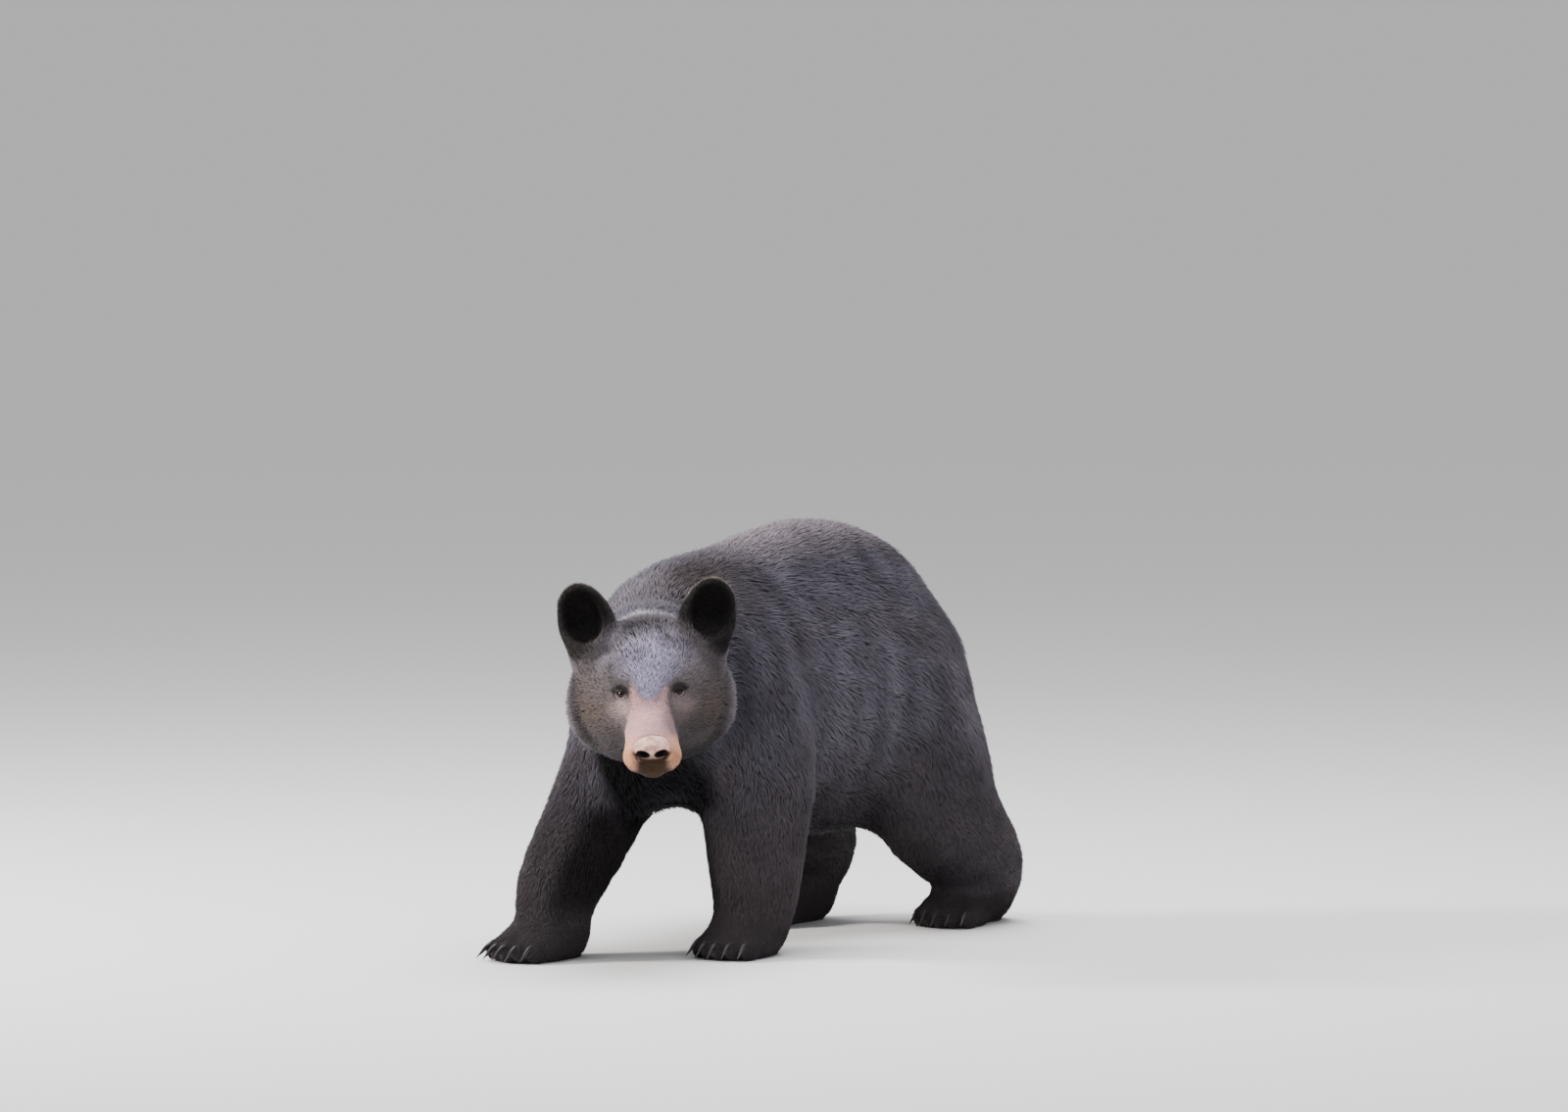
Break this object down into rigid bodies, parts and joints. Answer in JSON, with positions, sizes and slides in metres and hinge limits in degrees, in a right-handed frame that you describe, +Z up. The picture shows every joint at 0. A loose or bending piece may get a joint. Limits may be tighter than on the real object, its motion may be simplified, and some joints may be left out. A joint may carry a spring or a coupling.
{
  "type": "black bear",
  "caption": "Life-size still model of a walking black bear with its head turned to its left, resting on flat soles.",
  "frame": {"origin": "on the floor, under the middle of the bear's bounding box", "axes": "+Z up, the bear faces -Y, its left side is +X"},
  "size_m": [0.5408, 1.3036, 0.7713],
  "materials": {
    "coat": "short sleek charcoal fur with a blue-grey sheen",
    "nose": "damp pinkish-grey nose leather",
    "eye": "wet dark brown eyeball"
  },
  "bodies": {
    "root": {"torso": "coat", "neck": "coat", "tail": "coat", "foreleg_left": "coat", "forepaw_left": "coat", "foreleg_right": "coat", "forepaw_right": "coat", "hindleg_left": "coat", "hindpaw_left": "coat", "hindleg_right": "coat", "hindpaw_right": "coat", "head": "coat", "nose": "nose", "ear_left": "coat", "eye_left": "eye", "ear_right": "coat", "eye_right": "eye"}
  },
  "joints": []
}
